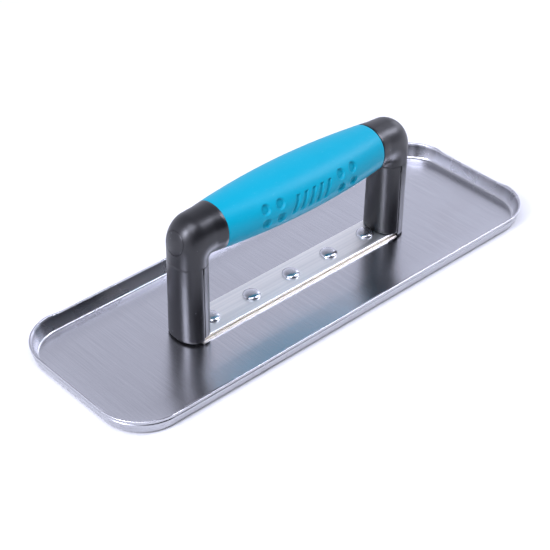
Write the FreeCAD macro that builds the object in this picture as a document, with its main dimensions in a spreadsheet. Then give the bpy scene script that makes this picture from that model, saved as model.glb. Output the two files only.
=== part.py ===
import FreeCAD, Part
import math
import os
import re

import Sketcher

# A stainless hand float with a closed handle.
# Origin: middle of the pan's underside.  +X runs along the pan, +Z is up.
doc = FreeCAD.newDocument("hand_float")

# ------------------------------------------------------------------ driving dimensions, millimetres
SIZES = {
    # pan: a pressed tray whose walls lean outwards
    "PanLength": 290.0,
    "PanWidth": 99.4,
    "RimCornerRadius": 23.0,
    "RimHeight": 9.0,
    "SheetThickness": 1.2,
    "RimFlare": 2.2,
    "BendRadius": 3.0,
    # mounting bar: an extrusion with a lip, a groove and a bead along each side
    "BarLength": 140.0,
    "BarHeight": 2.4,
    "BarLipWidth": 22.1,
    "BarLipHeight": 0.7,
    "BarGrooveWidth": 19.2,
    "BarBeadWidth": 20.2,
    "BarBeadHeight": 0.9,
    # rivets through the bar and the pan, flush underneath
    "RivetPitch": 28.0,
    "RivetHeadDiameter": 9.8,
    "RivetHeadHeight": 2.2,
    "RivetShankDiameter": 4.0,
    "RivetSinkDiameter": 6.0,
    # posts: oval in plan, split into an outer shell and an inner cover
    "PostSpacing": 141.0,
    "PostHalfLength": 9.2,
    "PostHalfWidth": 11.5,
    "PostWall": 2.2,
    "ShellFootGap": 1.4,
    "SeamSpacing": 140.0,
    "SeamGap": 0.15,
    "CoverTop": 47.4,
    # handle: oval sections round an axis that runs along X
    "HandleHeight": 60.4,
    "GripHalfLength": 54.3,
    "GripEndHalfWidth": 13.0,
    "GripEndHalfHeight": 12.8,
    "GripMidHalfWidth": 17.1,
    "GripMidHalfHeight": 14.8,
    "GripThickness": 3.0,
    # elbow: oval sections that turn about a pivot just inside the corner
    "PivotSpacing": 121.4,
    "PivotHeight": 47.7,
    "ElbowTopHalfWidth": 12.0,
    "ElbowTopHalfHeight": 12.3,
    "ElbowFullness": 2.3,
    # steel angle inside each post
    "TangThickness": 2.0,
    "TangWidth": 14.0,
    "TangOuterFace": 71.9,
    "TangFootEnd": 63.7,
    "TangTop": 66.5,
    "TangClearance": 0.1,
    "TangRivetPlace": 66.6,
    "TangRivetSpread": 7.2,
    "TangRivetHeadDiameter": 4.4,
    "TangRivetHeadHeight": 1.3,
    "TangRivetShankDiameter": 2.4,
    "TangRivetSinkDiameter": 3.8,
    # rod through the grip, with a washer, a thin nut and a plug at each end
    "RodDiameter": 4.0,
    "RodBoreDiameter": 4.4,
    "RodHalfLength": 76.4,
    "SeatPlace": 73.4,
    "SeatDiameter": 10.0,
    "WasherDiameter": 9.0,
    "WasherThickness": 0.8,
    "NutAcrossFlats": 7.0,
    "NutThickness": 2.2,
    "PlugPlace": 76.6,
    "PlugDiameter": 12.6,
    "PlugGap": 0.1,
}

sheet = doc.addObject("Spreadsheet::Sheet", "Sizes")
for row, (alias, value) in enumerate(SIZES.items(), start=1):
    sheet.set(f"A{row}", alias)
    sheet.set(f"B{row}", str(value))
    sheet.setAlias(f"B{row}", alias)
doc.recompute()

BAR_TOP = "(SheetThickness + BarHeight)"
POST_PLACE = "(PostSpacing / 2)"
PIVOT_PLACE = "(PivotSpacing / 2)"
CLEAR = "1"  # how far a box that only cuts stands past the solid it cuts
QUARTER_TURN = math.pi / 2

X_AXIS = FreeCAD.Vector(1, 0, 0)
Y_AXIS = FreeCAD.Vector(0, 1, 0)
Z_AXIS = FreeCAD.Vector(0, 0, 1)
ALONG_X = FreeCAD.Rotation(FreeCAD.Vector(1, 1, 1), 120)  # local X, Y, Z lie along Y, Z, X
FLAT = FreeCAD.Rotation()


# ------------------------------------------------------------------ helpers
def cells(expression):
    """Point an expression's alias words at the sheet."""
    return re.sub(r"[A-Z][A-Za-z]+", lambda word: f"Sizes.{word.group()}", expression)


def value(expression):
    """What an expression is worth now."""
    return float(sheet.evalExpression(expression))


def bind(thing, place=None, turn=FLAT, **sizes):
    """Bind a thing's sizes to the sheet, and its placement to three expressions."""
    for name, expression in sizes.items():
        thing.setExpression(name, cells(expression))
    thing.Placement = FreeCAD.Placement(FreeCAD.Vector(), turn)
    for axis, expression in zip("xyz", place or ()):
        thing.setExpression(f".Placement.Base.{axis}", cells(expression))
    return thing


def box(name, low, high):
    """A box between two corners, each three expressions."""
    spans = [f"({top}) - ({bottom})" for bottom, top in zip(low, high)]
    thing = doc.addObject("Part::Box", name)
    return bind(thing, low, Length=spans[0], Width=spans[1], Height=spans[2])


def cylinder(name, diameter, start, end, place, turn=FLAT):
    """A cylinder along its own Z, from start to end; place is where its axis begins."""
    thing = doc.addObject("Part::Cylinder", name)
    along = 0 if turn is ALONG_X else 2
    place = list(place)
    place[along] = start
    return bind(thing, place, turn, Radius=f"({diameter}) / 2", Height=f"({end}) - ({start})")


def combine(kind, name, first, *others):
    """Fuse, Cut or Common of things that the document already holds."""
    if kind == "Fuse":
        thing = doc.addObject("Part::MultiFuse", name)
        thing.Shapes = [first, *others]
        return thing
    tool = others[0]
    if len(others) > 1:
        tool = combine("Fuse", f"{name}_tools", *others)
    thing = doc.addObject(f"Part::{kind}", name)
    thing.Base = first
    thing.Tool = tool
    return thing


def oval(name, across, along, place, turn):
    """An ellipse; across is its half-width along Y, along its other half-size."""
    thing = doc.addObject("Part::Ellipse", name)
    wider = value(across) >= value(along)
    major, minor = (across, along) if wider else (along, across)
    upright = turn is ALONG_X
    turn = turn * FreeCAD.Rotation(Z_AXIS, 0 if wider == upright else 90)
    return bind(thing, place, turn, MajorRadius=major, MinorRadius=minor)


def loft(name, sections, ruled=False):
    thing = doc.addObject("Part::Loft", name)
    thing.Sections = sections
    thing.Solid = True
    thing.Ruled = ruled
    return thing


def mirrored(name, source):
    """The same thing on the -X side."""
    thing = doc.addObject("Part::Mirroring", name)
    thing.Source = source
    thing.Normal = X_AXIS
    return thing


def both_sides(name, right):
    """One node that holds a piece and its twin on the -X side."""
    return group(name, [right, mirrored(f"{name}_other", right)])


def group(name, pieces):
    """Separate solids in one node."""
    thing = doc.addObject("Part::Compound", name)
    thing.Links = pieces
    return thing


def origin_plane(body, role):
    return next(plane for plane in body.Origin.OriginFeatures if plane.Role == role)


def new_sketch(body, name, role="XY_Plane", height=None):
    """A sketch on one of the body's own planes, lifted by an expression."""
    sketch = body.newObject("Sketcher::SketchObject", name)
    sketch.AttachmentSupport = [(origin_plane(body, role), "")]
    sketch.MapMode = "FlatFace"
    if height:
        sketch.setExpression(".AttachmentOffset.Base.z", cells(height))
    return sketch


def dimension(sketch, kind, *where, expression):
    """A driving dimension that follows the sheet."""
    index = sketch.addConstraint(Sketcher.Constraint(kind, *where, value(expression)))
    sketch.setExpression(f"Constraints[{index}]", cells(expression))


def outline(sketch, corners):
    """A closed polygon whose corners are pairs of expressions."""
    points = [FreeCAD.Vector(value(x), value(y), 0) for x, y in corners]
    count = len(points)
    for index, point in enumerate(points):
        sketch.addGeometry(Part.LineSegment(point, points[(index + 1) % count]), False)
    for index, (x, y) in enumerate(corners):
        sketch.addConstraint(Sketcher.Constraint("Coincident", (index - 1) % count, 2, index, 1))
        dimension(sketch, "DistanceX", -1, 1, index, 1, expression=x)
        dimension(sketch, "DistanceY", -1, 1, index, 1, expression=y)


def rounded_rectangle(sketch, length, width, radius):
    """A rectangle with round corners, centred on the sketch's origin."""
    half_x, half_y, corner = value(f"({length}) / 2"), value(f"({width}) / 2"), value(radius)
    inner_x, inner_y = half_x - corner, half_y - corner
    spot = FreeCAD.Vector
    sides = [
        (spot(-inner_x, -half_y, 0), spot(inner_x, -half_y, 0)),
        (spot(half_x, -inner_y, 0), spot(half_x, inner_y, 0)),
        (spot(inner_x, half_y, 0), spot(-inner_x, half_y, 0)),
        (spot(-half_x, inner_y, 0), spot(-half_x, -inner_y, 0)),
    ]
    centres = [(inner_x, -inner_y), (inner_x, inner_y), (-inner_x, inner_y), (-inner_x, -inner_y)]
    for start, end in sides:
        sketch.addGeometry(Part.LineSegment(start, end), False)
    for index, (x, y) in enumerate(centres):
        circle = Part.Circle(spot(x, y, 0), Z_AXIS, corner)
        arc = Part.ArcOfCircle(circle, (index - 1) * QUARTER_TURN, index * QUARTER_TURN)
        sketch.addGeometry(arc, False)
    for index in range(4):
        arc = 4 + index
        sketch.addConstraint(Sketcher.Constraint("Tangent", index, 2, arc, 1))
        sketch.addConstraint(Sketcher.Constraint("Tangent", arc, 2, (index + 1) % 4, 1))
        sketch.addConstraint(Sketcher.Constraint("Horizontal" if index % 2 == 0 else "Vertical", index))
        if index:
            sketch.addConstraint(Sketcher.Constraint("Equal", 4, arc))
    dimension(sketch, "Radius", 4, expression=radius)
    dimension(sketch, "DistanceX", 3, 1, 1, 1, expression=length)
    dimension(sketch, "DistanceY", 0, 1, 2, 1, expression=width)
    dimension(sketch, "DistanceX", -1, 1, 1, 1, expression=f"({length}) / 2")
    dimension(sketch, "DistanceY", -1, 1, 2, 1, expression=f"({width}) / 2")


# ------------------------------------------------------------------ pan
def tray(name, low, skin, bend):
    """A solid tray whose walls lean out up to the rim, and stand in from the pan's own by skin."""
    body = doc.addObject("PartDesign::Body", name)
    inset = f"(RimFlare * (1 - ({low}) / RimHeight) + {skin})"
    length, width = f"PanLength - 2 * {inset}", f"PanWidth - 2 * {inset}"
    foot = new_sketch(body, f"{name}_foot", height=low)
    rounded_rectangle(foot, length, width, f"RimCornerRadius - {inset}")
    walls = body.newObject("PartDesign::Pad", f"{name}_walls")
    walls.Profile = foot
    walls.setExpression("Length", cells(f"RimHeight - ({low})"))
    walls.setExpression("TaperAngle", cells("atan(RimFlare / RimHeight)"))
    doc.recompute()
    floor = value(low)
    edges = [
        f"Edge{index}"
        for index, edge in enumerate(walls.Shape.Edges, start=1)
        if max(abs(vertex.Point.z - floor) for vertex in edge.Vertexes) < 1e-6
    ]
    corner = body.newObject("PartDesign::Fillet", f"{name}_bend")
    corner.Base = (walls, edges)
    corner.setExpression("Radius", cells(bend))
    body.Tip = corner
    return body


def through_rivets(name, spots, head, head_height, shank, sink, base):
    """Domed rivets that stand on base and end flush in countersinks under the pan.

    Gives the rivets, and the stems and flares that cut their holes.
    """
    rivets = []
    tools = []
    ball = f"(({head}) ^ 2 / 4 + ({head_height}) ^ 2) / (2 * ({head_height}))"
    for index, (x, y) in enumerate(spots):
        dome = doc.addObject("Part::Sphere", f"{name}_dome_{index}")
        bind(
            dome,
            (x, y, f"({base}) + ({head_height}) - ({ball})"),
            Radius=ball,
            Angle1=f"asin((({ball}) - ({head_height})) / ({ball}))",
        )
        stem = cylinder(f"{name}_stem_{index}", shank, "0", base, (x, y, "0"))
        flare = doc.addObject("Part::Cone", f"{name}_flare_{index}")
        bind(flare, (x, y, "0"), Radius1=f"({sink}) / 2", Radius2=f"({shank}) / 2", Height="SheetThickness")
        rivets.append(combine("Fuse", f"{name}_{index}", dome, stem, flare))
        tools += [stem, flare]
    return rivets, tools


blade_spots = [(f"{step} * RivetPitch", "0") for step in range(-2, 3)]
blade_rivets, blade_holes = through_rivets(
    "blade_rivet",
    blade_spots,
    "RivetHeadDiameter",
    "RivetHeadHeight",
    "RivetShankDiameter",
    "RivetSinkDiameter",
    BAR_TOP,
)
tang_spots = [
    (f"{side} * TangRivetPlace", f"{row} * TangRivetSpread / 2") for side in (-1, 1) for row in (-1, 1)
]
tang_rivets, tang_holes = through_rivets(
    "tang_rivet",
    tang_spots,
    "TangRivetHeadDiameter",
    "TangRivetHeadHeight",
    "TangRivetShankDiameter",
    "TangRivetSinkDiameter",
    f"({BAR_TOP} + TangThickness)",
)
rivet_holes = combine("Fuse", "rivet_holes", *blade_holes, *tang_holes)

pan_outside = tray("pan_outside", "0", "0", "BendRadius")
pan_inside = tray("pan_inside", "SheetThickness", "SheetThickness", "BendRadius - SheetThickness")
pan_shell = combine("Cut", "pan_shell", pan_outside, pan_inside)
pan = combine("Cut", "pan", pan_shell, rivet_holes)

# ------------------------------------------------------------------ mounting bar
bar_body = doc.addObject("PartDesign::Body", "bar_body")
bar_profile = new_sketch(bar_body, "bar_profile", "YZ_Plane")
right_side = [
    ("BarLipWidth / 2", "SheetThickness"),
    ("BarLipWidth / 2", "SheetThickness + BarLipHeight"),
    ("BarGrooveWidth / 2", "SheetThickness + BarLipHeight"),
    ("BarGrooveWidth / 2", f"{BAR_TOP} - BarBeadHeight"),
    ("BarBeadWidth / 2", f"{BAR_TOP} - BarBeadHeight"),
    ("BarBeadWidth / 2", BAR_TOP),
]
left_side = [(f"-({x})", y) for x, y in reversed(right_side)]
outline(bar_profile, right_side + left_side)
bar_pad = bar_body.newObject("PartDesign::Pad", "bar_pad")
bar_pad.Profile = bar_profile
bar_pad.Midplane = True
bar_pad.setExpression("Length", cells("BarLength"))
mounting_bar = combine("Cut", "mounting_bar", bar_body, rivet_holes)


# ------------------------------------------------------------------ handle
def grip_form(name, skin):
    """The crowned oval of the grip, drawn in by skin."""
    sections = []
    for index, share in enumerate((-1, -0.5, 0, 0.5, 1)):
        crown = 1 - share**2
        half_width = f"GripEndHalfWidth + {crown} * (GripMidHalfWidth - GripEndHalfWidth) - {skin}"
        half_height = f"GripEndHalfHeight + {crown} * (GripMidHalfHeight - GripEndHalfHeight) - {skin}"
        place = (f"{share} * GripHalfLength", "0", "HandleHeight")
        sections.append(oval(f"{name}_{index}", half_width, half_height, place, ALONG_X))
    return loft(name, sections)


def elbow_section(index, angle):
    """An oval on a half-plane that turns about the pivot, from level to upright."""
    rise = f"sin({angle}) ^ 2"
    foot_reach = f"({POST_PLACE} + PostHalfLength - {PIVOT_PLACE})"
    top_reach = "(HandleHeight + ElbowTopHalfHeight - PivotHeight)"
    fullness = f"ElbowFullness * sin(2 * {angle}) ^ 2"
    reach = f"({foot_reach} * (1 - {rise}) + {top_reach} * {rise} + {fullness})"
    foot_start = f"({POST_PLACE} - PostHalfLength - {PIVOT_PLACE})"
    top_start = "(HandleHeight - ElbowTopHalfHeight - PivotHeight)"
    start = f"({foot_start} * (1 - {rise}) + {top_start} * {rise})"
    middle = f"(({reach} + {start}) / 2)"
    half_width = f"PostHalfWidth * (1 - {rise}) + ElbowTopHalfWidth * {rise}"
    place = (f"{PIVOT_PLACE} + {middle} * cos({angle})", "0", f"PivotHeight + {middle} * sin({angle})")
    turn = FreeCAD.Rotation(Y_AXIS, -angle)
    return oval(f"elbow_{index}", half_width, f"({reach} - {start}) / 2", place, turn)


grip_outside = grip_form("grip_outside", "0")
core = grip_form("core", "GripThickness")

ELBOW_ANGLES = (0, 22.5, 45, 67.5, 90)
elbow_ovals = [elbow_section(index, angle) for index, angle in enumerate(ELBOW_ANGLES)]
elbow_bend = loft("elbow_bend", elbow_ovals)
grip_end = oval(
    "grip_end", "GripEndHalfWidth", "GripEndHalfHeight", ("GripHalfLength", "0", "HandleHeight"), ALONG_X
)
elbow_neck = loft("elbow_neck", [elbow_ovals[-1], grip_end], ruled=True)
elbow_outside = combine("Fuse", "elbow_outside", elbow_bend, elbow_neck)


def post_form(name, low, high, skin):
    """An upright oval column on the post's axis."""
    ends = []
    for end, height in (("low", low), ("high", high)):
        place = (POST_PLACE, "0", height)
        across, along = f"PostHalfWidth - {skin}", f"PostHalfLength - {skin}"
        ends.append(oval(f"{name}_{end}", across, along, place, FLAT))
    return loft(name, ends, ruled=True)


SHELL_FOOT = "(SheetThickness + ShellFootGap)"
SEAM = "(SeamSpacing / 2)"
post_outside = post_form("post_outside", SHELL_FOOT, "PivotHeight", "0")
post_hollow = post_form("post_hollow", SHELL_FOOT, "CoverTop", "PostWall")
cover_side = box(
    "cover_side",
    (f"{PIVOT_PLACE} - PostHalfLength", f"-PostHalfWidth - {CLEAR}", SHELL_FOOT),
    (SEAM, f"PostHalfWidth + {CLEAR}", "CoverTop"),
)
tang_slot = box(
    "tang_slot",
    (
        "TangOuterFace - TangThickness - TangClearance",
        "-TangWidth / 2 - TangClearance",
        f"CoverTop - {CLEAR}",
    ),
    ("TangOuterFace + TangClearance", "TangWidth / 2 + TangClearance", "TangTop + TangClearance"),
)
AXIS = ("0", "0", "HandleHeight")
rod_bore = cylinder("rod_bore", "RodBoreDiameter", "-PanLength", "PanLength", AXIS, ALONG_X)
seat_bore = cylinder("seat_bore", "SeatDiameter", "SeatPlace", "PanLength", AXIS, ALONG_X)
plug_bore = cylinder("plug_bore", "PlugDiameter", "PlugPlace", "PanLength", AXIS, ALONG_X)
half_outside = combine("Fuse", "half_outside", elbow_outside, post_outside)
half_hollows = (cover_side, post_hollow, tang_slot, rod_bore, seat_bore, plug_bore)
half_frame = combine("Cut", "half_frame", half_outside, *half_hollows)
half_frame_left = mirrored("half_frame_left", half_frame)
bored_core = combine("Cut", "bored_core", core, rod_bore)
handle_frame = combine("Fuse", "handle_frame", bored_core, half_frame, half_frame_left)
grip_sleeve = combine("Cut", "grip_sleeve", grip_outside, core)

cover_room = box(
    "cover_room",
    (f"{PIVOT_PLACE} - PostHalfLength", f"-PostHalfWidth - {CLEAR}", f"{BAR_TOP} + SeamGap"),
    (f"{SEAM} - SeamGap", f"PostHalfWidth + {CLEAR}", "CoverTop - SeamGap"),
)
cover_skin = combine("Cut", "cover_skin", post_outside, post_hollow)
post_cover_right = combine("Common", "post_cover_right", cover_skin, cover_room)
post_cover_left = mirrored("post_cover_left", post_cover_right)

plug_rod = cylinder("plug_rod", "PlugDiameter - 2 * PlugGap", "PlugPlace", "PanLength", AXIS, ALONG_X)
plug = combine("Common", "plug", half_outside, plug_rod)
end_plugs = both_sides("end_plugs", plug)

# ------------------------------------------------------------------ steel inside the handle
tang_upright = box(
    "tang_upright",
    ("TangOuterFace - TangThickness", "-TangWidth / 2", BAR_TOP),
    ("TangOuterFace", "TangWidth / 2", "TangTop"),
)
tang_foot_plate = box(
    "tang_foot_plate",
    ("TangFootEnd", "-TangWidth / 2", BAR_TOP),
    ("TangOuterFace", "TangWidth / 2", f"{BAR_TOP} + TangThickness"),
)
foot_room = post_form("foot_room", SHELL_FOOT, "CoverTop", "(PostWall + TangClearance)")
tang_foot = combine("Common", "tang_foot", tang_foot_plate, foot_room)
tang_blank = combine("Fuse", "tang_blank", tang_upright, tang_foot)
tang_right = combine("Cut", "tang_right", tang_blank, rivet_holes, rod_bore)
tang_left = mirrored("tang_left", tang_right)

tie_rod = cylinder("tie_rod", "RodDiameter", "-RodHalfLength", "RodHalfLength", AXIS, ALONG_X)
rod_room = cylinder("rod_room", "RodDiameter", "0", "PanLength", AXIS, ALONG_X)
washer_disc = cylinder(
    "washer_disc", "WasherDiameter", "SeatPlace", "SeatPlace + WasherThickness", AXIS, ALONG_X
)
washer = combine("Cut", "washer", washer_disc, rod_bore)
nut_hexagon = doc.addObject("Part::Prism", "nut_hexagon")
nut_hexagon.Polygon = 6
bind(
    nut_hexagon,
    ("SeatPlace + WasherThickness", "0", "HandleHeight"),
    ALONG_X,
    Circumradius="NutAcrossFlats / 2 / cos(30)",
    Height="NutThickness",
)
nut = combine("Cut", "nut", nut_hexagon, rod_room)

# ------------------------------------------------------------------ nodes
NODES = {
    "pan": pan,
    "mounting_bar": mounting_bar,
    "blade_rivets": group("blade_rivets", blade_rivets),
    "handle_frame": handle_frame,
    "post_cover_left": post_cover_left,
    "post_cover_right": post_cover_right,
    "grip_sleeve": grip_sleeve,
    "end_plugs": end_plugs,
    "tang_left": tang_left,
    "tang_right": tang_right,
    "tang_rivets": group("tang_rivets", tang_rivets),
    "tie_rod": tie_rod,
    "tie_rod_washers": both_sides("tie_rod_washers", washer),
    "tie_rod_nuts": both_sides("tie_rod_nuts", nut),
}
SOLIDS = {"blade_rivets": 5, "tang_rivets": 4, "end_plugs": 2, "tie_rod_washers": 2, "tie_rod_nuts": 2}

for name, thing in NODES.items():
    thing.Label = name
doc.recompute()

for thing in doc.Objects:
    faults = {"Invalid", "Error"} & set(thing.State)
    if faults:
        raise RuntimeError(f"{thing.Name} is {faults}")

os.makedirs("parts", exist_ok=True)
for name, thing in NODES.items():
    shape = thing.Shape
    if shape.isNull() or not shape.isValid():
        raise RuntimeError(f"{name} has no valid shape")
    if len(shape.Solids) != SOLIDS.get(name, 1):
        raise RuntimeError(f"{name} holds {len(shape.Solids)} solids")
    shape.exportStep(f"parts/{name}.step")
    print(f"{name}: {len(shape.Solids)} solid(s), {shape.Volume:.0f} mm3")
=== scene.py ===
import math

import bmesh
import bpy
from mathutils import Matrix, Vector, noise
from mathutils.bvhtree import BVHTree


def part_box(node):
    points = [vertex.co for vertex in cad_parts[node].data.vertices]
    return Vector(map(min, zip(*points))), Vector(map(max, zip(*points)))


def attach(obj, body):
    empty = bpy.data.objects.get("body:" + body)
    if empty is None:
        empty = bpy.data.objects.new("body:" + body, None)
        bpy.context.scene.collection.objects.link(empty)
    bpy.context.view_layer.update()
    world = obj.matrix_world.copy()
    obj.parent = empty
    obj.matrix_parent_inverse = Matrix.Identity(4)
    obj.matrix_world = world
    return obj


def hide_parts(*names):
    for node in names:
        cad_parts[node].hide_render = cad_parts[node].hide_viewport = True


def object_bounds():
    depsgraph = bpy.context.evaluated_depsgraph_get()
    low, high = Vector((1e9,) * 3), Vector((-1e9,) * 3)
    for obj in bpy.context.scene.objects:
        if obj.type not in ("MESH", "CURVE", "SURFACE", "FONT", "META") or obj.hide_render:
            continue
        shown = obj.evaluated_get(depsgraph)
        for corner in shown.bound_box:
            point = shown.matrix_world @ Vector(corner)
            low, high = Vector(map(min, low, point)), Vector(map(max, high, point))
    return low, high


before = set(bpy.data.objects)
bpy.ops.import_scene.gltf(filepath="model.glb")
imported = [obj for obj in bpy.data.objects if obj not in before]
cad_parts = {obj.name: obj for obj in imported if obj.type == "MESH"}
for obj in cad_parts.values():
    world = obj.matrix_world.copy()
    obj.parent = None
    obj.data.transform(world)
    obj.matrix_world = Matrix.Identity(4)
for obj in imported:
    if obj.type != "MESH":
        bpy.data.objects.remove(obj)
CAD_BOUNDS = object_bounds()

MM = 0.001

# ------------------------------------------------------------------ places that the frame gives
PAN_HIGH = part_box("pan")[1]
BAR_LOW, BAR_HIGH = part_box("mounting_bar")
GRIP_LOW, GRIP_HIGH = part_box("grip_sleeve")
COVER_LOW, COVER_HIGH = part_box("post_cover_right")
SHELL_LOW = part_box("handle_frame")[0]
RIVET_LOW, RIVET_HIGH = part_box("blade_rivets")
PLUG_LOW, PLUG_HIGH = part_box("end_plugs")

SHEET = BAR_LOW.z
RIM_HEIGHT = PAN_HIGH.z
GRIP_END = GRIP_HIGH.x
GRIP_AXIS = (GRIP_LOW.z + GRIP_HIGH.z) / 2
SEAM_X = COVER_HIGH.x
POST_INNER = COVER_LOW.x

# ------------------------------------------------------------------ sizes of the looks
# pan: pressed sheet with a rolled lip, and corners that the press leaves taller than the sides
CORNER_RADIUS = 24.8 * MM
RIM_FLARE = 2.2 * MM
BEND_RADIUS = 3 * MM
CORNER_RISE = 0.75 * MM
CORNER_FLARE = 0.5 * MM
STEP_PAST = 1 * MM
STEP_SPAN = 11 * MM
CREASE_DEPTH = 0.1 * MM
CREASE_SPAN = 0.7 * MM
LIP_HEIGHT = 1.6 * MM
LIP_GROOVE = 0.45 * MM
FLOOR_INSET = 18 * MM
UNDERSIDE = 0.05 * MM
END_STOPS = 18
END_GAP = 0.45 * MM
SIDE_GAP = 2.5 * MM
CORNER_STEPS = 24
LIP_BANDS = 4
FLOOR_BAND = 0.25 * MM

# mounting bar: a lip, a groove and a bead along each side
GROOVE_INSET = 1.45 * MM
BEAD_INSET = 0.95 * MM
LIP_RISE = 0.75 * MM
BEAD_DROP = 1.0 * MM

# rivets
RIVET_SHANK = 2.0 * MM
RIVET_SINK = 3.0 * MM
RIVET_RIM = 0.3 * MM
RIVET_WOBBLE = 0.012

# handle: oval sections
OVAL_POWER = 2.2
GRIP_MID_WIDTH = 17.0 * MM
GRIP_END_WIDTH = 12.7 * MM
GRIP_MID_HEIGHT = 13.95 * MM
GRIP_END_HEIGHT = 12.4 * MM
POST_CENTRE = 70.5 * MM
POST_HALF = POST_CENTRE - POST_INNER
POST_FOOT_WIDTH = 11.8 * MM
POST_TOP_WIDTH = 11.2 * MM
POST_WALL = 2.2 * MM
COVER_TOP = COVER_HIGH.z
PIVOT_X = 60.7 * MM
PIVOT_Z = 47.7 * MM
INNER_REACH = 0.7 * MM
CORNER_X = 67.3 * MM
CORNER_Z = 57.2 * MM
FACE_X = POST_CENTRE + POST_HALF
SKIN = 3.0 * MM
SEAM_GAP = 0.22 * MM
SLIT_LENGTH = 5 * MM
SLIT_WIDTH = 0.45 * MM
EDGE_WIDTH = 0.22 * MM
NECK_GAP = 0.08 * MM
COVER_FOOT_GAP = 0.25 * MM
COVER_TOP_GAP = 0.12 * MM
BORE_DEPTH = 3 * MM
BORE_CLEARANCE = 0.1 * MM
PLUG_GAP = 0.16 * MM

# grip: shallow dimples in two groups, and slanted grooves between them
DIMPLE_RADIUS = 2.5 * MM
DIMPLE_DEPTH = 1.3 * MM
DIMPLE_COLUMNS = (20.7 * MM, 29.8 * MM)
DIMPLE_ROWS = (5.5 * MM, -2.2 * MM)
PATTERN_SHIFT = -1.8 * MM
GROOVE_SLANT = 0.45
GROOVE_PITCH = 5.4 * MM
GROOVE_HALF_WIDTH = 1.15 * MM
GROOVE_HALF_HEIGHT = 4.4 * MM
GROOVE_MIDDLE = 1.8 * MM
GROOVE_DEPTH = 0.8 * DIMPLE_DEPTH
RELIEF_BLEND = 0.5 * MM

# camera
FOCUS = Vector((-3.73 * MM, 8.27 * MM, 0))
CAMERA_DISTANCE = 795.2 * MM
CAMERA_AZIMUTH = math.radians(-43.28)
CAMERA_ELEVATION = math.radians(36.59)
CAMERA_ROLL = math.radians(0.95)
LENS = 97.1
SENSOR_WIDTH = 36

# lights and world: how the front's dark room leans and fades, and the sweep's level at each height
COOL = (0.92, 0.94, 1.12)
BOX_DISTANCE = 1.5
FRONT_TILT = -0.35
FRONT_RANGE = (-0.88, -0.74, 0.02, 1.0)
WORLD_LEVELS = ((0.0, 1.0), (0.3, 1.0), (0.5, 0.82), (0.62, 0.64), (0.8, 0.42), (1.0, 0.3))
TABLE_HALF = 4.0
TABLE_GAP = 0.05 * MM
RANGE_SOCKETS = ("From Min", "From Max", "To Min", "To Max")


# ------------------------------------------------------------------ mesh helpers
def mesh_piece(name, points, faces, materials, indices=None, smooth_angle=35):
    """A mesh object, smooth except at edges sharper than smooth_angle."""
    mesh = bpy.data.meshes.new(name)
    mesh.from_pydata([tuple(point) for point in points], [], faces)
    work = bmesh.new()
    work.from_mesh(mesh)
    bmesh.ops.recalc_face_normals(work, faces=work.faces)
    work.to_mesh(mesh)
    work.free()
    piece = bpy.data.objects.new(name, mesh)
    bpy.context.scene.collection.objects.link(piece)
    for material in materials:
        mesh.materials.append(material)
    if indices:
        mesh.polygons.foreach_set("material_index", indices)
    smooth(piece, smooth_angle)
    return piece


def smooth(piece, angle):
    piece.data.shade_smooth()
    piece.data.set_sharp_from_angle(angle=math.radians(angle))


def loops_to_faces(count, size, wrap=False):
    """Quads between count rings of size points; wrap joins the last ring to the first."""
    faces = []
    for ring in range(count if wrap else count - 1):
        here = ring * size
        there = (ring + 1) % count * size
        for index in range(size):
            after = (index + 1) % size
            faces.append((here + index, here + after, there + after, there + index))
    return faces


def swept(name, rings, materials, wrap=False, smooth_angle=35):
    """A skin over rings of equal size, with its two ends closed."""
    size = len(rings[0])
    faces = loops_to_faces(len(rings), size, wrap)
    if not wrap:
        last = (len(rings) - 1) * size
        faces.append(tuple(reversed(range(size))))
        faces.append(tuple(range(last, last + size)))
    points = [point for ring in rings for point in ring]
    return mesh_piece(name, points, faces, materials, smooth_angle=smooth_angle)


def apply_modifiers(piece):
    """Make the piece's modifiers part of its mesh."""
    graph = bpy.context.evaluated_depsgraph_get()
    shape = bpy.data.meshes.new_from_object(piece.evaluated_get(graph))
    piece.modifiers.clear()
    piece.data = shape


def soften_edges(piece, width, angle=40, segments=2):
    """Round the edges that are sharper than angle."""
    bevel = piece.modifiers.new("edges", "BEVEL")
    bevel.width = width
    bevel.segments = segments
    bevel.limit_method = "ANGLE"
    bevel.angle_limit = math.radians(angle)
    apply_modifiers(piece)
    smooth(piece, 50)


def rounded(corners, steps=5):
    """An outline through corners, each an x, a y and the radius of its arc."""
    outline = []
    for index, (x, y, radius) in enumerate(corners):
        here = Vector((x, y))
        if radius == 0:
            outline.append(here)
            continue
        back = (Vector(corners[index - 1][:2]) - here).normalized()
        ahead = (Vector(corners[(index + 1) % len(corners)][:2]) - here).normalized()
        half = back.angle(ahead) / 2
        start = here + back * radius / math.tan(half)
        end = here + ahead * radius / math.tan(half)
        centre = here + (back + ahead).normalized() * radius / math.sin(half)
        for step in range(steps + 1):
            spoke = (start - centre).lerp(end - centre, step / steps)
            outline.append(centre + spoke.normalized() * radius)
    return outline


def lay_grain(piece, across):
    """UVs whose first axis lies across the grain: 0 for X, 1 for Y."""
    layer = piece.data.uv_layers.new(name="grain")
    for loop in piece.data.loops:
        spot = piece.data.vertices[loop.vertex_index].co
        layer.data[loop.index].uv = (spot[across], spot[1 - across])


def place(piece, slot, *nodes):
    """Ride on the only body and stand for CAD nodes.  The slot argument is not used."""
    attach(piece, "root")
    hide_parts(*nodes)


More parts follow.
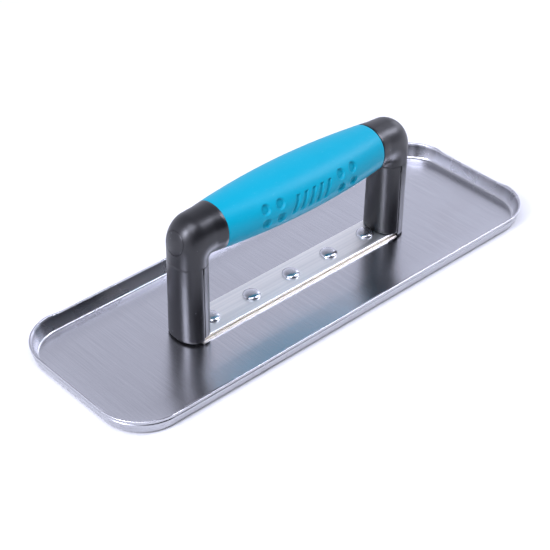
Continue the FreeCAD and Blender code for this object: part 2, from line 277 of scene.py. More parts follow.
# ------------------------------------------------------------------ material helpers
class Finish:
    """A procedural material, with short ways to add nodes."""

    def __init__(self, name):
        self.material = bpy.data.materials.new(name)
        self.material.use_nodes = True
        self.tree = self.material.node_tree
        self.shader = self.tree.nodes["Principled BSDF"]
        self.where = self.tree.nodes.new("ShaderNodeTexCoord")

    def set(self, **values):
        """Constant values, straight on the shader's sockets."""
        for socket, value in values.items():
            self.shader.inputs[socket.replace("_", " ")].default_value = value

    def link(self, output, target, socket):
        self.tree.links.new(output, target.inputs[socket])

    def noise(self, scale, stretch=(1, 1, 1), detail=3.0, roughness=0.5):
        """Noise over the object, whose features are 1 / (scale * stretch) metres."""
        mapping = self.tree.nodes.new("ShaderNodeMapping")
        mapping.inputs["Scale"].default_value = stretch
        self.link(self.where.outputs["Object"], mapping, "Vector")
        texture = self.tree.nodes.new("ShaderNodeTexNoise")
        texture.inputs["Scale"].default_value = scale
        texture.inputs["Detail"].default_value = detail
        texture.inputs["Roughness"].default_value = roughness
        self.link(mapping.outputs["Vector"], texture, "Vector")
        return texture.outputs["Fac"]

    def range(self, source, low, high, to_low, to_high):
        """Source from low to high becomes to_low to to_high, clamped."""
        node = self.tree.nodes.new("ShaderNodeMapRange")
        self.link(source, node, "Value")
        for socket, value in zip(RANGE_SOCKETS, (low, high, to_low, to_high)):
            node.inputs[socket].default_value = value
        return node.outputs["Result"]

    def maths(self, operation, first, second):
        node = self.tree.nodes.new("ShaderNodeMath")
        node.operation = operation
        for index, value in enumerate((first, second)):
            if isinstance(value, (int, float)):
                node.inputs[index].default_value = value
            else:
                self.tree.links.new(value, node.inputs[index])
        return node.outputs["Value"]

    def mix(self, share, first, second):
        """A colour that goes from first to second with share."""
        node = self.tree.nodes.new("ShaderNodeMix")
        node.data_type = "RGBA"
        self.tree.links.new(share, node.inputs[0])
        for socket, value in zip(("A", "B"), (first, second)):
            target = next(item for item in node.inputs if item.name == socket and item.type == "RGBA")
            if isinstance(value, tuple):
                target.default_value = value
            else:
                self.tree.links.new(value, target)
        return next(item for item in node.outputs if item.type == "RGBA")

    def height(self):
        """The height over the floor, in metres."""
        split = self.tree.nodes.new("ShaderNodeSeparateXYZ")
        self.link(self.where.outputs["Object"], split, "Vector")
        return split.outputs["Z"]

    def bump(self, source, strength, distance):
        node = self.tree.nodes.new("ShaderNodeBump")
        node.inputs["Strength"].default_value = strength
        node.inputs["Distance"].default_value = distance
        self.link(source, node, "Height")
        return node.outputs["Normal"]

    def colour(self, output):
        self.link(output, self.shader, "Base Color")

    def roughness(self, output):
        self.link(output, self.shader, "Roughness")

    def normal(self, output):
        self.link(output, self.shader, "Normal")

    def tangent(self):
        node = self.tree.nodes.new("ShaderNodeTangent")
        node.direction_type = "UV_MAP"
        node.uv_map = "grain"
        self.link(node.outputs["Tangent"], self.shader, "Tangent")


def grey(value, blue=1.0):
    return (value, value, value * blue, 1)


# ------------------------------------------------------------------ materials
GRAIN_ALONG_Y = (1, 0.012, 0.012)
GRAIN_ALONG_X = (0.02, 1, 1)
PLASTIC_SHADE = 0.003


def brushed_floor():
    """Stainless sheet, brushed across the blade, with faint smudges."""
    finish = Finish("stainless_floor")
    finish.set(Metallic=1.0, Anisotropic=0.5)
    fine = finish.noise(4200, GRAIN_ALONG_Y, detail=3)
    streaks = finish.noise(2100, GRAIN_ALONG_Y, detail=5, roughness=0.75)
    smudges = finish.noise(28, detail=2)
    tone = finish.range(streaks, 0.3, 0.7, 0, 1)
    base = finish.mix(tone, (0.60, 0.605, 0.64, 1), (0.73, 0.735, 0.77, 1))
    dull = finish.range(smudges, 0.55, 0.75, 0.0, 0.25)
    finish.colour(finish.mix(dull, base, (0.60, 0.59, 0.61, 1)))
    finish.roughness(finish.range(finish.maths("ADD", fine, smudges), 0.7, 1.3, 0.18, 0.25))
    finish.normal(finish.bump(fine, 0.25, 0.012 * MM))
    finish.tangent()
    return finish.material


def pressed_wall():
    """The pan's inner wall and lip.  The wall's colour darkens upward, a painted dark reflection for
    reflections the lights don't give, and the lip's paler band is a painted highlight.
    """
    finish = Finish("stainless_lip")
    finish.set(Metallic=1.0)
    cloud = finish.noise(70, detail=2)
    # painted dark reflection: the wall's colour darkens from 3 mm up to 7.5 mm
    painted_reflection_darkening = finish.range(finish.height(), 3 * MM, 7.5 * MM, 0, 1)
    # painted highlight: a paler band of colour along the lip, from 8.4 mm up
    lip = finish.range(finish.height(), 8.4 * MM, 8.8 * MM, 0, 1)
    wall = finish.mix(painted_reflection_darkening, (0.56, 0.56, 0.58, 1), (0.26, 0.26, 0.275, 1))
    finish.colour(finish.mix(lip, wall, (0.62, 0.62, 0.65, 1)))
    finish.roughness(finish.range(cloud, 0.3, 0.7, 0.25, 0.3))
    return finish.material


def brushed_wall():
    """The pan's outside: the same sheet, with rub marks just over the bottom bend."""
    finish = Finish("stainless_wall")
    finish.set(Metallic=1.0)
    cloud = finish.noise(70, detail=2)
    broken = finish.noise(420, (1, 1, 0.2), detail=4, roughness=0.7)
    low_edge = finish.range(finish.height(), 4.0 * MM, 4.3 * MM, 0, 1)
    high_edge = finish.range(finish.height(), 4.6 * MM, 5.1 * MM, 1, 0)
    band = finish.maths("MULTIPLY", low_edge, high_edge)
    rubs = finish.maths("MULTIPLY", band, finish.range(broken, 0.54, 0.66, 0, 0.7))
    finish.colour(finish.mix(rubs, (0.48, 0.485, 0.505, 1), (0.19, 0.18, 0.19, 1)))
    finish.roughness(finish.range(cloud, 0.3, 0.7, 0.26, 0.34))
    return finish.material


def extruded_aluminium():
    """Lines along the extrusion, with dark flecks caught in the groove and a painted warm shade along
    the groove.
    """
    finish = Finish("aluminium_bar")
    finish.set(Metallic=1.0, Anisotropic=0.3)
    lines = finish.noise(2600, GRAIN_ALONG_X, detail=3)
    bands = finish.noise(520, GRAIN_ALONG_X, detail=2)
    flecks = finish.noise(700, detail=3)
    in_groove = finish.range(finish.height(), 2.1 * MM, 2.7 * MM, 1, 0)
    tone = finish.range(bands, 0.35, 0.65, 0, 1)
    base = finish.mix(tone, (0.82, 0.83, 0.82, 1), (0.95, 0.945, 0.92, 1))
    # painted shade: the groove's colour is made darker and warmer than the rest of the bar
    painted_groove_shade = finish.mix(finish.maths("MULTIPLY", in_groove, 0.85), base, (0.62, 0.56, 0.46, 1))
    dirt = finish.maths("MULTIPLY", in_groove, finish.range(flecks, 0.6, 0.7, 0, 0.5))
    finish.colour(finish.mix(dirt, painted_groove_shade, (0.3, 0.27, 0.24, 1)))
    finish.roughness(finish.range(bands, 0.3, 0.7, 0.3, 0.4))
    finish.normal(finish.bump(lines, 0.15, 0.015 * MM))
    finish.tangent()
    return finish.material


def polished_rivet():
    """Bright steel, slightly uneven from the setting tool."""
    finish = Finish("rivet_steel")
    finish.set(Metallic=1.0)
    hammered = finish.noise(420, detail=1)
    finish.colour(finish.mix(hammered, (0.54, 0.55, 0.585, 1), (0.66, 0.67, 0.70, 1)))
    finish.roughness(finish.range(hammered, 0.3, 0.7, 0.2, 0.28))
    finish.normal(finish.bump(hammered, 0.3, 0.12 * MM))
    return finish.material


def moulded_plastic(name, polish):
    """Black plastic with a fine moulded grain and a few pale specks."""
    finish = Finish(name)
    finish.set(IOR=1.52, Specular_IOR_Level=0.58)
    grain = finish.noise(1900, detail=3, roughness=0.6)
    patches = finish.noise(60, detail=3)
    specks = finish.noise(700, detail=1)
    base = finish.mix(patches, grey(PLASTIC_SHADE, 1.25), grey(PLASTIC_SHADE * 1.4, 1.25))
    dust = finish.range(specks, 0.76, 0.80, 0, 0.6)
    finish.colour(finish.mix(dust, base, grey(0.14, 1.1)))
    finish.roughness(finish.range(patches, 0.35, 0.65, polish - 0.03, polish + 0.04))
    finish.normal(finish.bump(grain, 0.09, 0.04 * MM))
    return finish.material


def soft_rubber():
    """Bright soft rubber, a little paler where it is worn."""
    finish = Finish("blue_rubber")
    finish.set(IOR=1.5, Specular_IOR_Level=0.15)
    grain = finish.noise(1500, detail=4, roughness=0.6)
    patches = finish.noise(45, detail=3)
    scuffs = finish.noise(800, (0.35, 1, 1), detail=5, roughness=0.8)
    base = finish.mix(patches, (0.0, 0.25, 0.35, 1), (0.0, 0.275, 0.385, 1))
    finish.colour(finish.mix(finish.range(scuffs, 0.6, 0.72, 0, 0.3), base, (0.12, 0.4, 0.48, 1)))
    finish.roughness(finish.range(patches, 0.35, 0.65, 0.36, 0.44))
    finish.normal(finish.bump(grain, 0.16, 0.05 * MM))
    return finish.material


def plain_steel():
    """Dull mottled steel, for the pieces inside the handle."""
    finish = Finish("plain_steel")
    finish.set(Metallic=1.0)
    mottle = finish.noise(300, detail=4)
    finish.colour(finish.mix(mottle, grey(0.48), grey(0.62, 0.98)))
    finish.roughness(finish.range(mottle, 0.3, 0.7, 0.3, 0.45))
    finish.normal(finish.bump(mottle, 0.15, 0.05 * MM))
    return finish.material


def pale_floor():
    """A matt, almost white table that glows a little, as a lit product table does."""
    finish = Finish("studio_floor")
    finish.set(Roughness=0.9, Specular_IOR_Level=0.2, Emission_Color=grey(0.95), Emission_Strength=0.02)
    finish.colour(finish.mix(finish.noise(6, detail=2), grey(0.66), grey(0.69)))
    return finish.material


# ------------------------------------------------------------------ pan
def side_stops(half):
    """Places along a straight side: close together near its ends, where the corners rise."""
    near = [half - index * END_GAP for index in range(END_STOPS)]
    middle = near[-1]
    count = max(2, round(middle / SIDE_GAP))
    inner = [middle - middle * index / count for index in range(1, count)]
    right = near + inner + [0.0]
    return [-stop for stop in right] + list(reversed(right[:-1]))


def pan_outline():
    """Points round the rim: place, outward direction, share of the corner's rise and of its crease."""
    half_x = PAN_HIGH.x - CORNER_RADIUS
    half_y = PAN_HIGH.y - CORNER_RADIUS
    stops = []
    for quarter in range(4):
        turn = quarter * math.pi / 2
        outward = Vector((round(math.sin(turn)), -round(math.cos(turn))))
        along = Vector((-outward.y, outward.x))
        long_side = quarter % 2 == 0
        half = half_x if long_side else half_y
        edge = PAN_HIGH.y if long_side else PAN_HIGH.x
        for stop in side_stops(half):
            beyond = abs(stop) - (half - STEP_PAST)
            taller = ease(beyond / STEP_SPAN + 0.5)
            crease = ease(1 - abs(beyond) / CREASE_SPAN)
            stops.append((outward * edge + along * stop, outward, taller, crease))
        centre = outward * (edge - CORNER_RADIUS) + along * half
        for step in range(1, CORNER_STEPS):
            angle = turn - math.pi / 2 + step * math.pi / (2 * CORNER_STEPS)
            spoke = Vector((math.cos(angle), math.sin(angle)))
            stops.append((centre + spoke * CORNER_RADIUS, spoke, 1.0, 0.0))
    return stops


def ease(share):
    """From 0 to 1 with level ends, clamped."""
    share = min(max(share, 0.0), 1.0)
    return share * share * (3 - 2 * share)


def pan_section():
    """The sheet's section, as inset from the rim and height: up the outside and down the inside."""
    top = RIM_HEIGHT
    lean = RIM_FLARE / RIM_HEIGHT
    thick = SHEET * math.sqrt(1 + lean**2)
    neck = top - LIP_HEIGHT
    groove = lean * (top - neck) + LIP_GROOVE
    outside = [
        (FLOOR_INSET, UNDERSIDE, 0),
        (RIM_FLARE, UNDERSIDE, BEND_RADIUS),
        (groove - LIP_GROOVE, neck - 2 * LIP_GROOVE, 0.2 * MM),
        (groove, neck - LIP_GROOVE, 0.1 * MM),
        (groove - LIP_GROOVE, neck, 0.12 * MM),
        (0.0, top, 0.3 * MM),
    ]
    lip = [(thick, top, 0.4 * MM)]
    inside = [
        (RIM_FLARE - lean * SHEET + thick, SHEET, BEND_RADIUS - SHEET),
        (FLOOR_INSET, SHEET, 0),
    ]
    return rounded(outside + lip + inside)


def make_pan(floor_finish, lip_finish, wall_finish):
    """The section carried round the outline, with each corner a little taller and wider."""
    stops = pan_outline()
    section = pan_section()
    rings = []
    for inset, height in section:
        share = max(0.0, (height - BEND_RADIUS) / (RIM_HEIGHT - BEND_RADIUS))
        ring = []
        for spot, outward, taller, crease in stops:
            reach = CORNER_FLARE * taller * share - CREASE_DEPTH * crease * ease(share * 2)
            flat = spot + outward * (reach - inset)
            ring.append(Vector((flat.x, flat.y, height + CORNER_RISE * taller * share)))
        rings.append(ring)
    size = len(stops)
    faces = loops_to_faces(len(rings), size)
    indices = [zone(section, index // size) for index in range(len(faces))]
    last = (len(rings) - 1) * size
    faces.append(tuple(reversed(range(size))))
    faces.append(tuple(range(last, last + size)))
    indices += [2, 0]
    points = [point for ring in rings for point in ring]
    finishes = [floor_finish, lip_finish, wall_finish]
    pan = mesh_piece("pan_sheet", points, faces, finishes, indices, smooth_angle=60)
    lay_grain(pan, across=0)
    place(pan, "stainless", "pan")


def zone(section, band):
    """Which finish a band of the section has: floor, lip and inner wall, or outside."""
    top = max(range(len(section)), key=lambda index: section[index].y)
    if band < top - LIP_BANDS:
        return 2
    return 0 if section[band].y < SHEET + FLOOR_BAND else 1


# ------------------------------------------------------------------ mounting bar and rivets
def make_bar(finish):
    """An extrusion: a lip, a groove and a rounded bead along each side."""
    lip, groove, bead = BAR_HIGH.y, BAR_HIGH.y - GROOVE_INSET, BAR_HIGH.y - BEAD_INSET
    low, top = BAR_LOW.z, BAR_HIGH.z
    lip_top, bead_low = low + LIP_RISE, top - BEAD_DROP
    right = [
        (lip, low, 0.05 * MM),
        (lip, lip_top, 0.3 * MM),
        (groove, lip_top, 0.12 * MM),
        (groove, bead_low, 0.12 * MM),
        (bead, bead_low, 0.3 * MM),
        (bead, top, 0.42 * MM),
    ]
    left = [(-y, z, radius) for y, z, radius in reversed(right)]
    outline = rounded(right + left, steps=4)
    rings = []
    for x in (BAR_LOW.x, BAR_LOW.x / 2, 0.0, BAR_HIGH.x / 2, BAR_HIGH.x):
        rings.append([Vector((x, y, z)) for y, z in outline])
    bar = swept("bar_extrusion", rings, [finish])
    lay_grain(bar, across=1)
    place(bar, "aluminium", "mounting_bar")


def rivet_profile():
    """Radius and height of a rivet, from its flush foot up to the top of its dome."""
    head = RIVET_HIGH.y
    rise = RIVET_HIGH.z - BAR_HIGH.z - RIVET_RIM
    profile = [
        (RIVET_SINK, RIVET_LOW.z),
        (RIVET_SHANK, SHEET),
        (RIVET_SHANK, BAR_HIGH.z),
        (head, BAR_HIGH.z),
    ]
    for step in range(13):
        angle = step / 12 * math.pi / 2
        radius = head * math.cos(angle) ** 0.9
        profile.append((radius, BAR_HIGH.z + RIVET_RIM + rise * math.sin(angle)))
    return profile[:-1], (0.0, RIVET_HIGH.z)


def make_rivets(finish):
    """Five rivets in a row, each a little different, as set rivets are."""
    spins = 48
    profile, crown = rivet_profile()
    pitch = (RIVET_HIGH.x - RIVET_HIGH.y) / 2
    points = []
    faces = []
    for step in range(-2, 3):
        first = len(points)
        for radius, height in profile:
            for index in range(spins):
                angle = index / spins * 2 * math.pi
                wobble = noise.noise(Vector((math.cos(angle) * 1.5, math.sin(angle) * 1.5, step * 7.3)))
                reach = radius * (1 + RIVET_WOBBLE * wobble)
                points.append(
                    Vector((step * pitch + reach * math.cos(angle), reach * math.sin(angle), height))
                )
        for face in loops_to_faces(len(profile), spins):
            faces.append(tuple(first + corner for corner in face))
        top = len(points)
        points.append(Vector((step * pitch, 0, crown[1])))
        rim = first + (len(profile) - 1) * spins
        for index in range(spins):
            faces.append((rim + index, rim + (index + 1) % spins, top))
        faces.append(tuple(reversed(range(first, first + spins))))
    rivets = mesh_piece("rivet_heads", points, faces, [finish], smooth_angle=40)
    place(rivets, "rivet_steel", "blade_rivets")


# ------------------------------------------------------------------ handle
ARC_POINTS = 64


def crowned(x, middle, end):
    """A half-size of the grip, which falls off from its middle to its ends and on through the necks."""
    return middle - (middle - end) * (x / GRIP_END) ** 2


def oval_point(along, across, angle):
    """A point of a slightly squared oval; along is its half-size at angle 0."""
    power = 2 / OVAL_POWER
    cosine, sine = math.cos(angle), math.sin(angle)
    return (
        math.copysign(abs(cosine) ** power, cosine) * along,
        math.copysign(abs(sine) ** power, sine) * across,
    )


def oval_angle(share):
    """The angle at which an oval point's first coordinate is that share of its half-size."""
    return math.acos(math.copysign(abs(share) ** (OVAL_POWER / 2), share))


class Section:
    """An oval across the handle's path: a middle in the XZ plane, a direction and two half-sizes."""

    def __init__(self, x, z, lean, along, across):
        self.middle = Vector((x, 0, z))
        self.outward = Vector((math.cos(lean), 0, math.sin(lean)))
        self.along = along
        self.across = across

    def point(self, angle, skin=0.0):
        reach, side = oval_point(self.along - skin, self.across - skin, angle)
        return self.middle + self.outward * reach + Vector((0, side, 0))

    def ring(self, skin=0.0):
        """The whole oval, in the order that a split ring has too."""
        seam = oval_angle((SEAM_X - POST_CENTRE) / POST_HALF)
        outer = [self.point(angle, skin) for angle in spread(-seam, seam)]
        inner = [self.point(angle, skin) for angle in spread(seam, 2 * math.pi - seam, trim=True)]
        return outer + inner

    def half_ring(self, start, end, wall):
        """One side of a hollow post: its face from start to end, and back along the inside."""
        face = [self.point(angle) for angle in spread(start, end)]
        back = [self.point(angle, wall) for angle in spread(end, start, trim=True)]
        return face + back


def spread(start, end, trim=False):
    """Angles from start to end, with both ends or, trimmed, clear of both."""
    if trim:
        return [start + (end - start) * (step + 0.5) / ARC_POINTS for step in range(ARC_POINTS)]
    return [start + (end - start) * step / (ARC_POINTS - 1) for step in range(ARC_POINTS)]


def within_outline(x, z):
    """Whether a point of the XZ plane is inside the handle's outer line."""
    if x > FACE_X or z > GRIP_AXIS + crowned(x, GRIP_MID_HEIGHT, GRIP_END_HEIGHT):
        return False
    if x <= CORNER_X or z <= CORNER_Z:
        return True
    top = GRIP_AXIS + crowned(CORNER_X, GRIP_MID_HEIGHT, GRIP_END_HEIGHT)
    across = (x - CORNER_X) / (FACE_X - CORNER_X)
    up = (z - CORNER_Z) / (top - CORNER_Z)
    return across**2 + up**2 <= 1


def outer_reach(angle):
    """How far the handle's outer line is from the elbow's pivot, at an angle from level."""
    near, far = 0.0, 60 * MM
    for _ in range(40):
        middle = (near + far) / 2
        if within_outline(PIVOT_X + middle * math.cos(angle), PIVOT_Z + middle * math.sin(angle)):
            near = middle
        else:
            far = middle
    return near


def post_section(z):
    """The post's oval, a little wider at its foot."""
    share = (z - SHELL_LOW.z) / (PIVOT_Z - SHELL_LOW.z)
    across = POST_FOOT_WIDTH + (POST_TOP_WIDTH - POST_FOOT_WIDTH) * share
    return Section(POST_CENTRE, z, 0.0, POST_HALF, across)


def elbow_section(angle):
    reach = outer_reach(angle)
    level = math.sin(angle) ** 2
    top_width = crowned(PIVOT_X, GRIP_MID_WIDTH, GRIP_END_WIDTH)
    across = POST_TOP_WIDTH * (1 - level) + top_width * level
    middle = (reach + INNER_REACH) / 2
    x = PIVOT_X + middle * math.cos(angle)
    z = PIVOT_Z + middle * math.sin(angle)
    return Section(x, z, angle, (reach - INNER_REACH) / 2, across)


def grip_section(x):
    width = crowned(x, GRIP_MID_WIDTH, GRIP_END_WIDTH)
    height = crowned(x, GRIP_MID_HEIGHT, GRIP_END_HEIGHT)
    return Section(x, GRIP_AXIS, math.pi / 2, height, width)


def slit(z):
    """How far the seam opens near the top of the cover."""
    return SLIT_WIDTH * ease((z - (COVER_TOP - SLIT_LENGTH)) / (1.5 * MM))


def seam_angle(z, clearance):
    """The angle of the seam on a post's oval, moved from the seam by clearance."""
    return oval_angle((SEAM_X - POST_CENTRE + clearance + slit(z) / 2) / POST_HALF)


def heights(low, high, count):
    return [low + (high - low) * step / (count - 1) for step in range(count)]


def half_handle_rings():
    """Rings from a post's foot, round the elbow and the neck, to the middle of the core."""
    rings = []
    for z in heights(SHELL_LOW.z, COVER_TOP, 40):
        seam = seam_angle(z, SEAM_GAP / 2)
        rings.append(post_section(z).half_ring(-seam, seam, POST_WALL))
    rings.append(post_section(COVER_TOP).ring())
    for step in range(31):
        rings.append(elbow_section(math.radians(90 * step / 30)).ring())
    neck_end = GRIP_END + NECK_GAP
    for step in range(1, 5):
        rings.append(grip_section(PIVOT_X + (neck_end - PIVOT_X) * step / 4).ring())
    for step in range(7):
        rings.append(grip_section(neck_end * (1 - step / 6)).ring(SKIN))
    return rings


def mirrored(ring):
    return [Vector((-point.x, point.y, point.z)) for point in ring]


def make_handle(finish):
    """The black frame: both posts' outer shells, both elbows and the core inside the grip."""
    right = half_handle_rings()
    left = [mirrored(ring) for ring in reversed(right[:-1])]
    handle = swept("handle_shell", right + left, [finish], smooth_angle=45)
    soften_edges(handle, EDGE_WIDTH)
    lookup = surface_lookup(handle)
    cut_plug_bores(handle)
    smooth(handle, 50)
    place(handle, "black_plastic", "handle_frame")
    return lookup


def surface_lookup(piece):
    """A tree to cast rays at the piece's surface as it is now."""
    work = bmesh.new()
    work.from_mesh(piece.data)
    tree = BVHTree.FromBMesh(work)
    work.free()
    return tree


def cut_plug_bores(handle):
    """A round bore in the outside of each elbow, for its plug."""
    work = bmesh.new()
    beyond = 1 * MM
    for side in (-1, 1):
        turn = Matrix.Rotation(math.pi / 2, 4, "Y")
        middle = Matrix.Translation((side * (FACE_X + beyond), 0, plug_height()))
        bmesh.ops.create_cone(
            work,
            cap_ends=True,
            segments=96,
            radius1=bore_radius(),
            radius2=bore_radius(),
            depth=2 * (BORE_DEPTH + beyond),
            matrix=middle @ turn,
        )
    mesh = bpy.data.meshes.new("bore_tool")
    work.to_mesh(mesh)
    work.free()
    tool = bpy.data.objects.new("bore_tool", mesh)
    bpy.context.scene.collection.objects.link(tool)
    cut = handle.modifiers.new("bores", "BOOLEAN")
    cut.operation = "DIFFERENCE"
    cut.solver = "EXACT"
    cut.object = tool
    apply_modifiers(handle)
    bpy.data.objects.remove(tool)


def plug_height():
    return (PLUG_LOW.z + PLUG_HIGH.z) / 2


def bore_radius():
    return (PLUG_HIGH.z - PLUG_LOW.z) / 2 + BORE_CLEARANCE


def make_plugs(finish, lookup):
    """Two discs that follow the elbows' faces, with a rounded edge."""
    spins, steps = 72, 10
    points = []
    faces = []
    radius = bore_radius() - PLUG_GAP
    for side in (-1, 1):
        first = len(points)
        levels = [(step / steps, 0.0) for step in range(1, steps)]
        levels += [(0.975, 0.02 * MM), (0.993, 0.08 * MM), (1.0, 0.22 * MM), (1.0, 2.2 * MM)]
        for share, sink in levels:
            for index in range(spins):
                angle = index / spins * 2 * math.pi
                y, z = share * radius * math.cos(angle), share * radius * math.sin(angle)
                points.append(elbow_face(lookup, side, y, plug_height() + z, sink))
        for face in loops_to_faces(len(levels), spins):
            faces.append(tuple(first + corner for corner in face))
        middle = len(points)
        points.append(elbow_face(lookup, side, 0.0, plug_height(), 0.0))
        for index in range(spins):
            faces.append((first + index, first + (index + 1) % spins, middle))
        last = first + (len(levels) - 1) * spins
        faces.append(tuple(range(last, last + spins)))
    plugs = mesh_piece("plug_discs", points, faces, [finish], smooth_angle=50)
    place(plugs, "black_plastic", "end_plugs")


def elbow_face(lookup, side, y, z, sink):
    """The point of an elbow's outer face at y, z, moved inward by sink."""
    start = Vector((side * 2 * FACE_X, y, z))
    found = lookup.ray_cast(start, Vector((-side, 0, 0)))[0]
    return Vector((found.x - side * sink, y, z))


def make_cover(name, side, finish):
    """The inner half of a post, a thin shell that stands on the bar."""
    rings = []
    for z in heights(COVER_LOW.z + COVER_FOOT_GAP, COVER_TOP - COVER_TOP_GAP, 40):
        seam = seam_angle(z, -SEAM_GAP / 2 - slit(z))
        ring = post_section(z).half_ring(seam, 2 * math.pi - seam, POST_WALL)
        rings.append(ring if side > 0 else mirrored(ring))
    cover = swept(f"{name}_skin", rings, [finish], smooth_angle=45)
    soften_edges(cover, EDGE_WIDTH)
    place(cover, "black_plastic", name)


# ------------------------------------------------------------------ grip
def grip_relief(spot):
    """How deep the moulded pattern is at a point of the grip.  The back has the same pattern."""
    side = -1 if spot.y < 0 else 1
    x = -side * spot.x - PATTERN_SHIFT
    z = spot.z - GRIP_AXIS
    deepest = 0.0
    for column in DIMPLE_COLUMNS:
        for row in DIMPLE_ROWS:
            gap = math.hypot(abs(x) - column, z - row)
            deepest = max(deepest, DIMPLE_DEPTH * ease((DIMPLE_RADIUS - gap) / RELIEF_BLEND + 0.5))
    return max(deepest, groove_relief(x, z))


def groove_relief(x, z):
    """Five slanted grooves in a row."""
    slanted = x - GROOVE_SLANT * (z - 2 * MM)
    nearest = min(max(round(slanted / GROOVE_PITCH), -2), 2)
    across = abs(slanted - nearest * GROOVE_PITCH) - GROOVE_HALF_WIDTH
    beyond = abs(z - GROOVE_MIDDLE) - GROOVE_HALF_HEIGHT
    gap = max(across, beyond)
    return GROOVE_DEPTH * ease(-gap / RELIEF_BLEND + 0.5)


def make_grip(finish):
    """The crowned soft sleeve, with rounded ends and its moulded pattern."""
    count, around, edge = 320, 240, 0.7 * MM
    stops = [GRIP_END * (2 * step / count - 1) for step in range(count + 1)]
    fine = [GRIP_END - share * edge for share in (0.03, 0.1, 0.22, 0.4, 0.65)]
    stops = sorted(stops + fine + [-stop for stop in fine])
    rings = []
    for x in stops:
        near_end = max(0.0, edge - (GRIP_END - abs(x)))
        drop = edge - math.sqrt(edge**2 - near_end**2)
        rings.append([grip_point(x, index / around * 2 * math.pi, drop) for index in range(around)])
    for x in (GRIP_END, -GRIP_END):
        section = grip_section(x)
        rings.append([section.point(index / around * 2 * math.pi, SKIN) for index in range(around)])
    grip = swept("grip_rubber", rings, [finish], wrap=True, smooth_angle=60)
    place(grip, "blue_rubber", "grip_sleeve")


def grip_point(x, angle, drop):
    section = grip_section(x)
    spot = section.point(angle, drop)
    return section.point(angle, drop + grip_relief(spot))


# ------------------------------------------------------------------ steel inside the handle
def finish_inner_steel(steel, rivets):
    """The CAD nodes inside the handle stay as they are, and get their finish."""
    for name in ("tang_left", "tang_right", "tie_rod", "tie_rod_washers", "tie_rod_nuts"):
        dress(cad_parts[name], steel)
    dress(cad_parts["tang_rivets"], rivets)


def dress(node, material):
    for slot in node.material_slots:
        slot.material = material


# ------------------------------------------------------------------ stage
def make_stage():
    """The table, just under the part."""
    work = bmesh.new()
    bmesh.ops.create_grid(work, x_segments=8, y_segments=8, size=TABLE_HALF)
    mesh = bpy.data.meshes.new("studio_floor")
    work.to_mesh(mesh)
    work.free()
    floor = bpy.data.objects.new("studio_floor", mesh)
    floor.location.z = CAD_BOUNDS[0].z - TABLE_GAP
    mesh.materials.append(pale_floor())
    bpy.context.scene.collection.objects.link(floor)


def softbox(name, direction, width, height, radiance):
    """A cool rectangular light that faces the pan from a direction."""
    data = bpy.data.lights.new(name, "AREA")
    data.shape = "RECTANGLE"
    data.size = width
    data.size_y = height
    data.energy = radiance * math.pi * width * height
    data.color = COOL
    light = bpy.data.objects.new(name, data)
    away = Vector(direction).normalized()
    light.location = away * BOX_DISTANCE
    light.rotation_mode = "QUATERNION"
    light.rotation_quaternion = away.to_track_quat("Z", "Y")
    bpy.context.scene.collection.objects.link(light)


def light_studio():
    softbox("key_box", (0.60, -0.36, 0.72), 0.6, 0.8, 8.5)
    softbox("right_box", (0.90, 0.05, 0.43), 1.0, 0.8, 1.6)
    softbox("left_box", (-0.80, -0.06, 0.59), 0.5, 0.6, 19.0)
    softbox("top_box", (-0.35, -0.23, 0.90), 0.9, 0.8, 6.0)


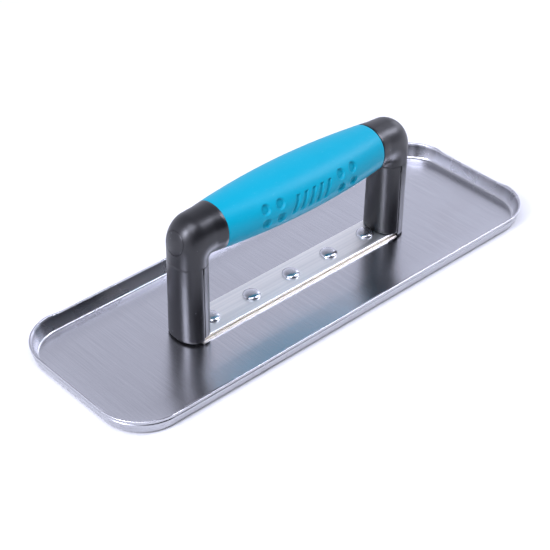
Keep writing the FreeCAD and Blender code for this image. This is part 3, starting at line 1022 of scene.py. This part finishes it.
def make_world():
    """A white sweep that dims overhead, with a dark room in front."""
    world = bpy.data.worlds.new("studio")
    world.use_nodes = True
    tree = world.node_tree
    background = tree.nodes["Background"]
    where = tree.nodes.new("ShaderNodeTexCoord")
    split = tree.nodes.new("ShaderNodeSeparateXYZ")
    tree.links.new(where.outputs["Generated"], split.inputs["Vector"])
    ramp = tree.nodes.new("ShaderNodeValToRGB")
    elements = ramp.color_ramp.elements
    for index, (height, level) in enumerate(WORLD_LEVELS):
        stop = elements[index] if index < 2 else elements.new(height)
        stop.position = height
        stop.color = (level * COOL[0], level * COOL[1], level * COOL[2], 1)
    tree.links.new(split.outputs["Z"], ramp.inputs["Fac"])
    tilt = tree.nodes.new("ShaderNodeMath")
    tilt.operation = "MULTIPLY_ADD"
    tilt.inputs[1].default_value = FRONT_TILT
    tree.links.new(split.outputs["Z"], tilt.inputs[0])
    tree.links.new(split.outputs["Y"], tilt.inputs[2])
    front = tree.nodes.new("ShaderNodeMapRange")
    front.interpolation_type = "SMOOTHSTEP"
    for socket, value in zip(RANGE_SOCKETS, FRONT_RANGE):
        front.inputs[socket].default_value = value
    tree.links.new(tilt.outputs["Value"], front.inputs["Value"])
    tree.links.new(ramp.outputs["Color"], background.inputs["Color"])
    tree.links.new(front.outputs["Result"], background.inputs["Strength"])
    bpy.context.scene.world = world


def make_camera():
    data = bpy.data.cameras.new("camera")
    data.lens = LENS
    data.sensor_width = SENSOR_WIDTH
    camera = bpy.data.objects.new("camera", data)
    back = Vector(
        (
            math.sin(CAMERA_AZIMUTH) * math.cos(CAMERA_ELEVATION),
            -math.cos(CAMERA_AZIMUTH) * math.cos(CAMERA_ELEVATION),
            math.sin(CAMERA_ELEVATION),
        )
    )
    right = Vector((math.cos(CAMERA_AZIMUTH), math.sin(CAMERA_AZIMUTH), 0))
    up = back.cross(right)
    upright = Matrix((right, up, back)).transposed().to_4x4()
    roll = Matrix.Rotation(CAMERA_ROLL, 4, "Z")
    camera.matrix_world = Matrix.Translation(FOCUS + back * CAMERA_DISTANCE) @ upright @ roll
    bpy.context.scene.collection.objects.link(camera)
    bpy.context.scene.camera = camera


# ------------------------------------------------------------------ the whole
make_camera()
make_world()
light_studio()
make_stage()
bpy.context.scene.view_settings.view_transform = "Standard"

black = moulded_plastic("black_plastic", 0.33)
rivet_finish = polished_rivet()
make_pan(brushed_floor(), pressed_wall(), brushed_wall())
make_bar(extruded_aluminium())
make_rivets(rivet_finish)
elbow_lookup = make_handle(black)
make_plugs(moulded_plastic("plug_plastic", 0.37), elbow_lookup)
make_cover("post_cover_left", -1, black)
make_cover("post_cover_right", 1, black)
make_grip(soft_rubber())
finish_inner_steel(plain_steel(), rivet_finish)
